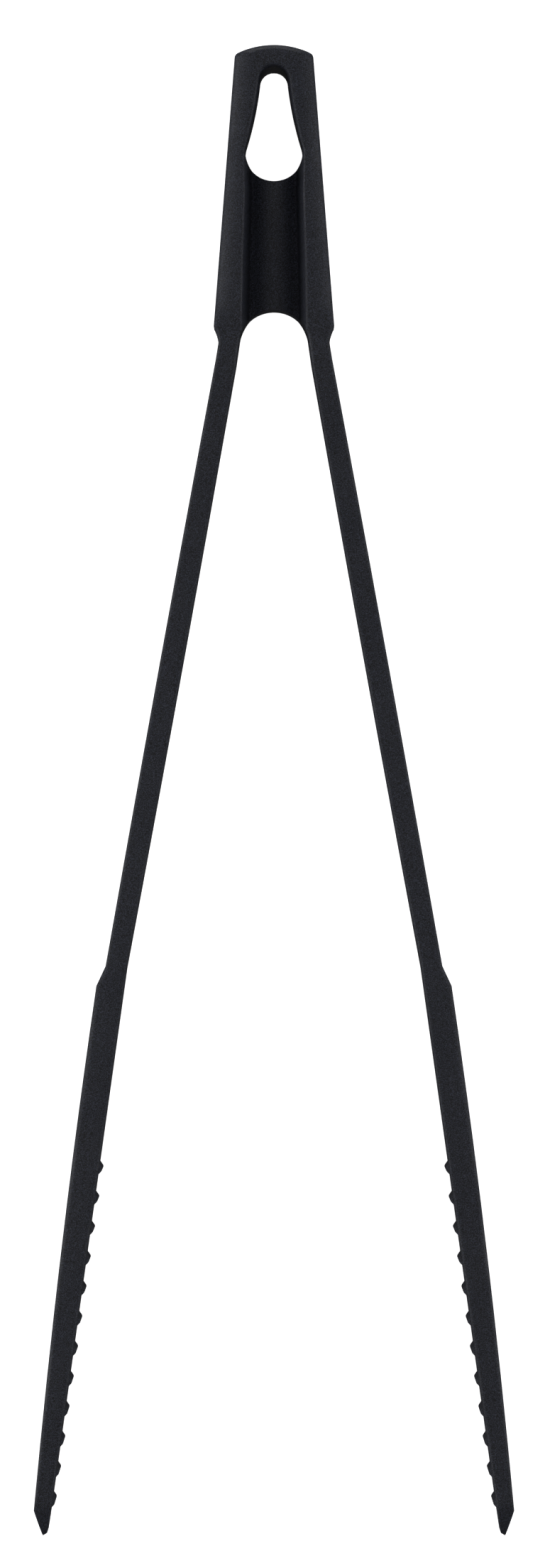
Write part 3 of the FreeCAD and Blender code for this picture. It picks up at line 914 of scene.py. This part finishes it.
@dataclass
class Arm:
    """A straight arm with a slimmer waist in its depth."""

    start: float = 3.58
    end: float = 127.8
    waist_depth: float = 18.0
    swell: float = 0.2
    rounding: float = 0.6
    outer_slope: float = 0.5
    slope_run: float = 15.0
    steps: int = 28
    tongue: tuple[float, float, float] = (2.0, 14.0, 42.0)
    tongue_across: float = 2.6
    tongue_overlap: float = 4.0
    section_strips: int = 5

    def build(self, side: Side, finishes: Finishes) -> bpy.types.Object:
        """Make one arm with the tongue that carries its jaw."""
        half_depth = LAYOUT.depth / 2
        rise = (LAYOUT.depth - self.waist_depth) / 2
        upper = [(-self.start, half_depth)] + bow((-self.start, half_depth),
                                                  (-self.end, half_depth), -rise, self.steps)
        lower = [(along, -up) for along, up in reversed(upper)]
        solid = prism(upper + lower, -LAYOUT.arm_thickness / 2, LAYOUT.arm_thickness / 2)
        for step in range(1, self.steps):
            cut_across(solid, Vector((-self.start + (self.start - self.end) * step / self.steps,
                                      0, 0)), Vector((1, 0, 0)))
        for strip in range(1, self.section_strips):
            height = LAYOUT.arm_thickness * (strip / self.section_strips - 0.5)
            cut_across(solid, Vector((0, 0, height)), Vector((0, 0, 1)))
        for spot in solid.verts:
            along = -spot.co.x - self.start
            share = along / (self.end - self.start)
            across = spot.co.z / LAYOUT.arm_thickness + 0.5
            drop = self.outer_slope * across ** 2 * min(along / self.slope_run, 1.0)
            spot.co.y *= 1 - drop / half_depth
            spot.co.z *= 1 + 8 * self.swell / LAYOUT.arm_thickness * share * (1 - share)
        stand = Matrix(((0, 0, 1, 0), (1, 0, 0, 0), (0, 1, 0, half_depth), (0, 0, 0, 1)))
        turned(solid, stand)
        round_off(solid, lambda edge: bend_of(edge) > 60
                  and not all(spot.co.y > -self.start - 0.01 for spot in edge.verts)
                  and not all(spot.co.y < -self.end + 0.01 for spot in edge.verts),
                  self.rounding, 4)
        turned(solid, lean(LAYOUT.neck, LAYOUT.arm_angle))
        thick, wide, long = self.tongue
        tongue = bmesh.new()
        bmesh.ops.create_cube(tongue, size=1.0)
        overlap = self.tongue_overlap
        bmesh.ops.scale(tongue, verts=tongue.verts, vec=(thick, long + overlap, wide))
        bmesh.ops.translate(tongue, verts=tongue.verts,
                            vec=(self.tongue_across, (overlap - long) / 2, half_depth))
        turned(tongue, lean(LAYOUT.jaw, LAYOUT.jaw_angle))
        solid = shaped(solid, tongue, Cut.JOIN)
        piece = finished("arm_%s" % side.word, solid, side, finishes.nylon)
        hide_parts("%s_arm" % side.word)
        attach(piece, "%s_arm" % side.word)
        return piece


@dataclass
class Jaw:
    """A bevelled jaw with a row of rounded teeth on its inner face."""

    length: float = 112.4
    lap: float = 2.2
    lap_inset: float = 0.15
    collar: float = 4.35
    shoulder_drop: float = 2.0
    thickness: float = 5.64
    outer_bow: float = 0.72
    end_thickness: float = 3.3
    bevel_length: float = 4.2
    tip: Point = (0.84, 0.84)
    corner_radius: float = 7.0
    rounding: float = 0.8
    tip_rounding: float = 0.25
    outer_slope: float = 0.75
    teeth: int = 12
    pitch: float = 6.15
    first_tooth: float = 38.45
    tooth_height: float = 0.85
    tooth_rise: float = 0.9
    tooth_fall: float = 1.2
    tooth_inset: float = 0.7
    tooth_rounding: float = 0.45
    tooth_root: float = 0.3
    tooth_taper: float = 0.4
    section_strips: int = 6

    def outline(self) -> list[Point]:
        """List the corners of the jaw seen edge-on, with its inner face on X = 0."""
        end = (self.end_thickness, -self.length + self.bevel_length)
        shoulder = (self.thickness, -self.shoulder_drop)
        outer = bow(end, shoulder, self.outer_bow, 24)
        return [(0.0, -self.length), (self.tip[0], -self.length - self.tip[1]), end] + outer + [
            (self.collar, self.lap), (self.lap_inset, self.lap)]

    def tooth(self, along: float) -> bmesh.types.BMesh:
        """Make one tooth, a rounded ridge across the jaw."""
        root = self.tooth_root
        outline = [(root, along - self.tooth_fall - root), (0.0, along - self.tooth_fall),
                   (-self.tooth_height, along), (0.0, along + self.tooth_rise),
                   (root, along + self.tooth_rise + root)]
        half = LAYOUT.depth / 2 - self.tooth_inset
        solid = prism(outline, -half, half)
        for spot in solid.verts:
            if spot.co.x < -0.1:
                spot.co.z *= 1 - self.tooth_taper * self.tooth_height / half
        round_off(solid, lambda edge: all(spot.co.x < -0.1 for spot in edge.verts),
                  self.tooth_rounding, 4)
        return solid

    def side_view(self) -> bmesh.types.BMesh:
        """Make the solid that gives the jaw its round corners, seen on its broad face."""
        half, end = LAYOUT.depth / 2, -self.length - self.tip[1]
        corner = arc((end + self.corner_radius, half - self.corner_radius), self.corner_radius,
                     90, 180, 14)
        lower = [(along, -up) for along, up in reversed(corner)]
        solid = prism([(self.lap + 1, half)] + corner + lower + [(self.lap + 1, -half)], -4, 12)
        return turned(solid, Matrix(((0, 0, 1, 0), (1, 0, 0, 0), (0, 1, 0, 0), (0, 0, 0, 1))))

    def build(self, side: Side, finishes: Finishes) -> bpy.types.Object:
        """Make one jaw."""
        half = LAYOUT.depth / 2
        solid = prism(self.outline(), -half, half)
        solid = shaped(solid, self.side_view(), Cut.KEEP)
        fold = -self.length + self.corner_radius
        round_off(solid, lambda edge: bend_of(edge) > 50
                  and fold < middle_of(edge).y < self.lap - 0.01, self.rounding, 4)
        round_off(solid, lambda edge: bend_of(edge) > 50 and -self.length < middle_of(edge).y
                  and max(spot.co.y for spot in edge.verts) < fold, self.tip_rounding, 3)
        for strip in range(1, self.section_strips):
            cut_across(solid, Vector((self.thickness * strip / self.section_strips, 0, 0)),
                       Vector((1, 0, 0)))
        for spot in solid.verts:
            spot.co.z *= 1 - self.outer_slope / half * (spot.co.x / self.thickness) ** 2
        for number in range(self.teeth):
            tooth = self.tooth(-self.first_tooth - number * self.pitch)
            solid = shaped(solid, tooth, Cut.JOIN)
        place = Matrix.Translation((0, 0, half)) @ lean(LAYOUT.jaw, LAYOUT.jaw_angle)
        turned(solid, place)
        piece = finished("jaw_%s" % side.word, solid, side, finishes.nylon)
        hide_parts("%s_jaw" % side.word)
        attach(piece, "%s_arm" % side.word)
        return piece


# ---------------------------------------------------------------- studio

@dataclass
class Studio:
    """A pale floor, soft light from around and a camera straight above."""

    camera_height: float = 2.20
    view_length: float = 0.315
    view_centre: tuple[float, float] = (-0.0003, 0.0014)
    sensor: float = 36.0
    floor_size: float = 8.0
    floor_colour: tuple[float, float, float] = (0.80, 0.80, 0.80)
    floor_glow: float = 1.1
    floor_roughness: float = 0.9
    floor_gloss: float = 0.1
    light_size: float = 1.2
    sky: tuple[tuple[float, float], ...] = ((-1.0, 0.08), (-0.02, 0.08), (0.02, 1.0),
                                            (0.25, 0.30), (0.6, 0.05), (1.0, 0.02))

    def camera(self) -> None:
        """Place the camera above the middle of the tongs, looking straight down."""
        data = bpy.data.cameras.new("camera")
        data.sensor_fit = "AUTO"
        data.sensor_width = self.sensor
        top = CAD_BOUNDS[1][2]
        data.lens = self.sensor * (self.camera_height - top) / self.view_length
        camera = bpy.data.objects.new("camera", data)
        camera.location = (*self.view_centre, self.camera_height)
        bpy.context.scene.collection.objects.link(camera)
        bpy.context.scene.camera = camera

    def floor(self) -> None:
        """Lay the light floor that the tongs rest on."""
        solid = bmesh.new()
        bmesh.ops.create_grid(solid, x_segments=1, y_segments=1, size=self.floor_size / 2)
        mesh = bpy.data.meshes.new("floor")
        solid.to_mesh(mesh)
        solid.free()
        floor = bpy.data.objects.new("floor", mesh)
        bpy.context.scene.collection.objects.link(floor)
        material = bpy.data.materials.new("pale_floor")
        material.use_nodes = True
        shader = material.node_tree.nodes["Principled BSDF"]
        shader.inputs["Base Color"].default_value = (*self.floor_colour, 1.0)
        shader.inputs["Roughness"].default_value = self.floor_roughness
        shader.inputs["Specular IOR Level"].default_value = self.floor_gloss
        shader.inputs["Emission Color"].default_value = (1.0, 1.0, 1.0, 1.0)
        shader.inputs["Emission Strength"].default_value = self.floor_glow
        mesh.materials.append(material)
        floor.visible_diffuse = False
        floor.visible_glossy = False

    def light(self, name: str, place: tuple[float, float, float], power: float) -> None:
        """Add one soft light that faces the tongs."""
        data = bpy.data.lights.new(name, "AREA")
        data.size = self.light_size
        data.energy = power
        lamp = bpy.data.objects.new(name, data)
        lamp.location = place
        lamp.rotation_euler = (-Vector(place)).to_track_quat("-Z", "Y").to_euler()
        bpy.context.scene.collection.objects.link(lamp)

    def surroundings(self) -> None:
        """Light the tongs from a pale horizon between a dim ceiling and a dim ground."""
        world = bpy.data.worlds.new("studio")
        world.use_nodes = True
        tree = world.node_tree
        place = add_node(tree, "ShaderNodeTexCoord")
        parts = add_node(tree, "ShaderNodeSeparateXYZ")
        ramp = add_node(tree, "ShaderNodeValToRGB")
        elements = ramp.color_ramp.elements
        while len(elements) < len(self.sky):
            elements.new(0.5)
        for element, (height, level) in zip(elements, self.sky):
            element.position = (height + 1) / 2
            element.color = (level, level, level, 1.0)
        share = add_node(tree, "ShaderNodeMapRange")
        share.inputs["From Min"].default_value = -1.0
        tree.links.new(place.outputs["Generated"], parts.inputs["Vector"])
        tree.links.new(parts.outputs["Z"], share.inputs["Value"])
        tree.links.new(share.outputs["Result"], ramp.inputs["Fac"])
        tree.links.new(ramp.outputs["Color"], tree.nodes["Background"].inputs["Color"])
        bpy.context.scene.world = world

    def build(self) -> None:
        """Set up the whole studio."""
        self.camera()
        self.floor()
        self.surroundings()
        for name, place, power in (("low_left_light", (-2.17, 0.0, 0.35), 32.0),
                                   ("low_right_light", (2.17, 0.0, 0.35), 21.0),
                                   ("high_left_light", (-1.10, 0.0, 1.90), 2.0),
                                   ("high_right_light", (1.10, 0.0, 1.90), 2.0),
                                   ("head_light", (0.0, 2.19, 0.20), 30.0),
                                   ("foot_light", (0.0, -0.60, 2.50), 3.0),
                                   ("top_light", (0.0, 0.0, 2.60), 8.0)):
            self.light(name, place, power)
        bpy.context.scene.view_settings.view_transform = "Standard"


def main() -> None:
    """Build the studio and the tongs."""
    logging.basicConfig(level=logging.INFO, format="%(name)s: %(message)s")
    Studio().build()
    finishes = make_finishes()
    band = SpringBand()
    pieces = Head().build(band, finishes)
    pieces.append(Screws().build(finishes))
    for side in Side:
        pieces.append(band.build(side, finishes))
        pieces.append(Neck().build(side, finishes))
        pieces.append(Arm().build(side, finishes))
        pieces.append(Jaw().build(side, finishes))
    for node in ("left_band_rivets", "right_band_rivets", "left_jaw_rivets", "right_jaw_rivets"):
        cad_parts[node].data.materials.clear()
        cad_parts[node].data.materials.append(finishes.fastener)
    for piece in pieces:
        log.info("%s: %d faces", piece.name, len(piece.data.polygons))


if __name__ == "__main__":
    main()
